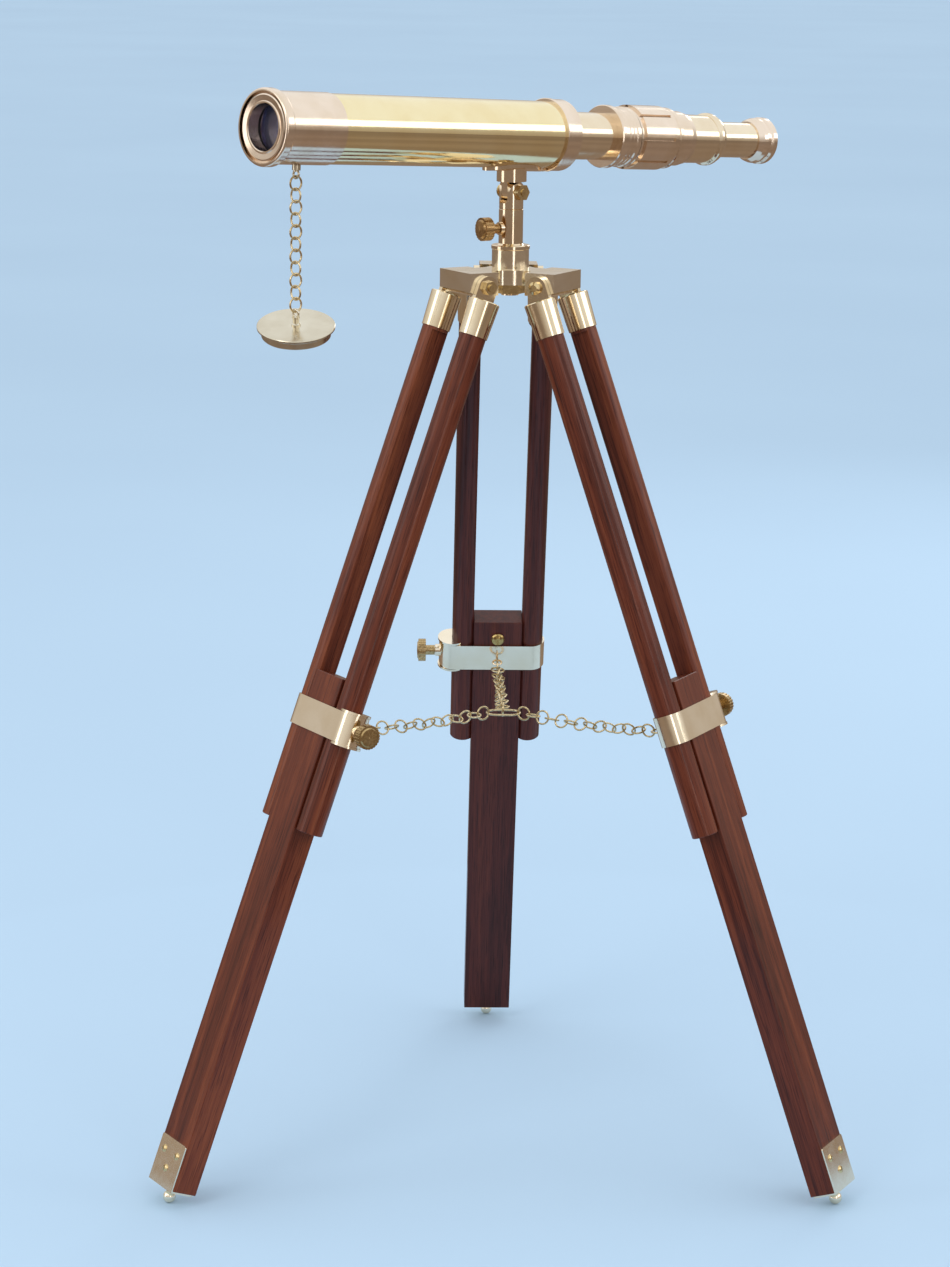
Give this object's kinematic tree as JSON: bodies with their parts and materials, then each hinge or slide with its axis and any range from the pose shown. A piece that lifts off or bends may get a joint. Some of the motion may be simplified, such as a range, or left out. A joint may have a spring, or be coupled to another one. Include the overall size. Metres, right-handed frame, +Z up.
{
  "type": "telescope on tripod",
  "caption": "Brass draw-tube telescope on a tilting fork over a folding wooden tripod with sliding legs, spreader chains and a lens cap on a chain.",
  "frame": {"origin": "middle of the floor rectangle that the standing instrument covers", "axes": "+Z up; the back leg points along +Y; the objective points to the front left, at 221 degrees from +X"},
  "size_m": [0.491, 0.4376, 0.7628],
  "materials": {
    "tube_brass": "polished",
    "turned_brass": "polished",
    "fitting_brass": "satin",
    "screw_brass": "satin",
    "chain_brass": "polished",
    "black_brass": "matt",
    "wood": "lacquered",
    "glass": "coated"
  },
  "bodies": {
    "stand": {"hub": "fitting_brass", "post_socket": "fitting_brass", "hub_nut": "screw_brass", "hinge_bolts": "screw_brass"},
    "post_screw": {"post_thumbscrew": "screw_brass"},
    "post": {"forked_post": "fitting_brass", "tilt_bolt": "screw_brass"},
    "scope": {"tilting_head": "fitting_brass", "saddle_screws": "screw_brass", "main_tube": "tube_brass", "objective_sleeve": "turned_brass", "objective_ring": "turned_brass", "objective_lens": "glass", "lens_cell": "black_brass", "lens_retaining_ring": "black_brass", "rear_collar": "turned_brass", "cap_eye": "turned_brass"},
    "draw": {"draw_tube": "turned_brass", "draw_collar": "turned_brass", "erector_cell": "black_brass", "erector_lenses": "glass"},
    "focus_ring": {"focusing_barrel": "turned_brass"},
    "rear": {"rear_tube": "turned_brass"},
    "eyepiece": {"eyepiece_tube": "turned_brass", "eyepiece_lenses": "glass", "eyepiece_stops": "black_brass", "eyepiece_cup": "turned_brass"},
    "cap_chain": {"cap_chain": "turned_brass"},
    "cap": {"lens_cap": "turned_brass"},
    "leg_left": {"ferrules_left": "fitting_brass", "rods_left": "wood", "clamp_band_left": "fitting_brass", "clamp_shoe_left": "fitting_brass"},
    "slide_left": {"slat_left": "wood", "stop_stud_left": "screw_brass", "foot_bracket_left": "fitting_brass", "foot_screws_left": "screw_brass"},
    "clamp_screw_left": {"clamp_thumbscrew_left": "screw_brass"},
    "chain_left": {"spreader_chain_left": "chain_brass"},
    "leg_right": {"ferrules_right": "fitting_brass", "rods_right": "wood", "clamp_band_right": "fitting_brass", "clamp_shoe_right": "fitting_brass"},
    "slide_right": {"slat_right": "wood", "stop_stud_right": "screw_brass", "foot_bracket_right": "fitting_brass", "foot_screws_right": "screw_brass"},
    "clamp_screw_right": {"clamp_thumbscrew_right": "screw_brass"},
    "chain_right": {"spreader_chain_right": "chain_brass"},
    "leg_back": {"ferrules_back": "fitting_brass", "rods_back": "wood", "clamp_band_back": "fitting_brass", "clamp_shoe_back": "fitting_brass"},
    "slide_back": {"slat_back": "wood", "stop_stud_back": "screw_brass", "foot_bracket_back": "fitting_brass", "foot_screws_back": "screw_brass"},
    "clamp_screw_back": {"clamp_thumbscrew_back": "screw_brass"},
    "chain_back": {"spreader_chain_back": "chain_brass", "centre_link": "chain_brass"}
  },
  "joints": [
    {"name": "post_screw_turn", "type": "hinge", "parent": "stand", "child": "post_screw", "pos_m": [0, -0.05486, 0.6603], "axis": [-0.866, -0.5, 0], "range_deg": [0, 360]},
    {"name": "post_turn", "type": "hinge", "parent": "stand", "child": "post", "pos_m": [0, -0.05486, 0.6633], "axis": [0, 0, 1], "continuous": true},
    {"name": "tilt", "type": "hinge", "parent": "post", "child": "scope", "pos_m": [0, -0.05486, 0.6853], "axis": [0.66, -0.7513, 0], "range_deg": [-35, 35]},
    {"name": "draw_slide", "type": "slide", "parent": "scope", "child": "draw", "axis": [0.7499, 0.6588, -0.0593], "range_m": [-0.04, 0.05]},
    {"name": "focus_turn", "type": "hinge", "parent": "draw", "child": "focus_ring", "pos_m": [0.10874, 0.04067, 0.7159], "axis": [-0.7499, -0.6588, 0.0593], "range_deg": [-150, 150]},
    {"name": "focus_slide", "type": "slide", "parent": "draw", "child": "rear", "axis": [-0.7499, -0.6588, 0.0593], "range_m": [-0.0043, 0.0043]},
    {"name": "eyepiece_slide", "type": "slide", "parent": "rear", "child": "eyepiece", "axis": [0.7499, 0.6588, -0.0593], "range_m": [-0.035, 0.015]},
    {"name": "cap_chain_swing", "type": "hinge", "parent": "scope", "child": "cap_chain", "pos_m": [-0.14467, -0.18196, 0.70368], "axis": [0.66, -0.7513, 0], "range_deg": [-60, 60]},
    {"name": "cap_swing", "type": "hinge", "parent": "cap_chain", "child": "cap", "pos_m": [-0.14467, -0.18196, 0.61838], "axis": [0.66, -0.7513, 0], "range_deg": [-60, 60]},
    {"name": "fold_left", "type": "hinge", "parent": "stand", "child": "leg_left", "pos_m": [-0.02815, -0.07111, 0.6233], "axis": [0.5, -0.866, 0], "range_deg": [0, 20.7]},
    {"name": "extend_left", "type": "slide", "parent": "leg_left", "child": "slide_left", "axis": [0.3061, 0.1767, 0.9354], "range_m": [0, 0.22]},
    {"name": "clamp_turn_left", "type": "hinge", "parent": "leg_left", "child": "clamp_screw_left", "pos_m": [-0.10792, -0.15527, 0.3291], "axis": [0.5, -0.866, 0], "range_deg": [0, 360]},
    {"name": "chain_hang_left", "type": "hinge", "parent": "leg_left", "child": "chain_left", "pos_m": [-0.11451, -0.12097, 0.3205], "axis": [0.5, -0.866, 0], "range_deg": [-102.5, 0], "deforming": ["spreader_chain_left"]},
    {"name": "fold_right", "type": "hinge", "parent": "stand", "child": "leg_right", "pos_m": [0.02815, -0.07111, 0.6233], "axis": [0.5, 0.866, 0], "range_deg": [0, 20.8]},
    {"name": "extend_right", "type": "slide", "parent": "leg_right", "child": "slide_right", "axis": [-0.3061, 0.1767, 0.9354], "range_m": [0, 0.22]},
    {"name": "clamp_turn_right", "type": "hinge", "parent": "leg_right", "child": "clamp_screw_right", "pos_m": [0.14092, -0.09812, 0.3291], "axis": [0.5, 0.866, 0], "range_deg": [0, 360]},
    {"name": "chain_hang_right", "type": "hinge", "parent": "leg_right", "child": "chain_right", "pos_m": [0.11451, -0.12097, 0.3205], "axis": [0.5, 0.866, 0], "range_deg": [-102.5, 0], "deforming": ["spreader_chain_right"]},
    {"name": "fold_back", "type": "hinge", "parent": "stand", "child": "leg_back", "pos_m": [0, -0.02236, 0.6233], "axis": [-1, 0, 0], "range_deg": [0, 20.8]},
    {"name": "extend_back", "type": "slide", "parent": "leg_back", "child": "slide_back", "axis": [0, -0.3535, 0.9354], "range_m": [0, 0.22]},
    {"name": "clamp_turn_back", "type": "hinge", "parent": "leg_back", "child": "clamp_screw_back", "pos_m": [-0.033, 0.08881, 0.3291], "axis": [-1, 0, 0], "range_deg": [0, 360]},
    {"name": "chain_hang_back", "type": "hinge", "parent": "leg_back", "child": "chain_back", "pos_m": [0, 0.07736, 0.3205], "axis": [-1, 0, 0], "range_deg": [-102.5, 0], "deforming": ["spreader_chain_back"]}
  ],
  "couplings": [
    {"joint": "focus_slide", "follows": "focus_turn", "m_per_rad": 0.0016},
    {"joint": "chain_hang_left", "follows": "fold_left", "ratio": -4.9275},
    {"joint": "fold_right", "follows": "fold_left", "ratio": 1},
    {"joint": "chain_hang_right", "follows": "fold_left", "ratio": -4.9275},
    {"joint": "fold_back", "follows": "fold_left", "ratio": 1},
    {"joint": "chain_hang_back", "follows": "fold_left", "ratio": -4.9275}
  ]
}
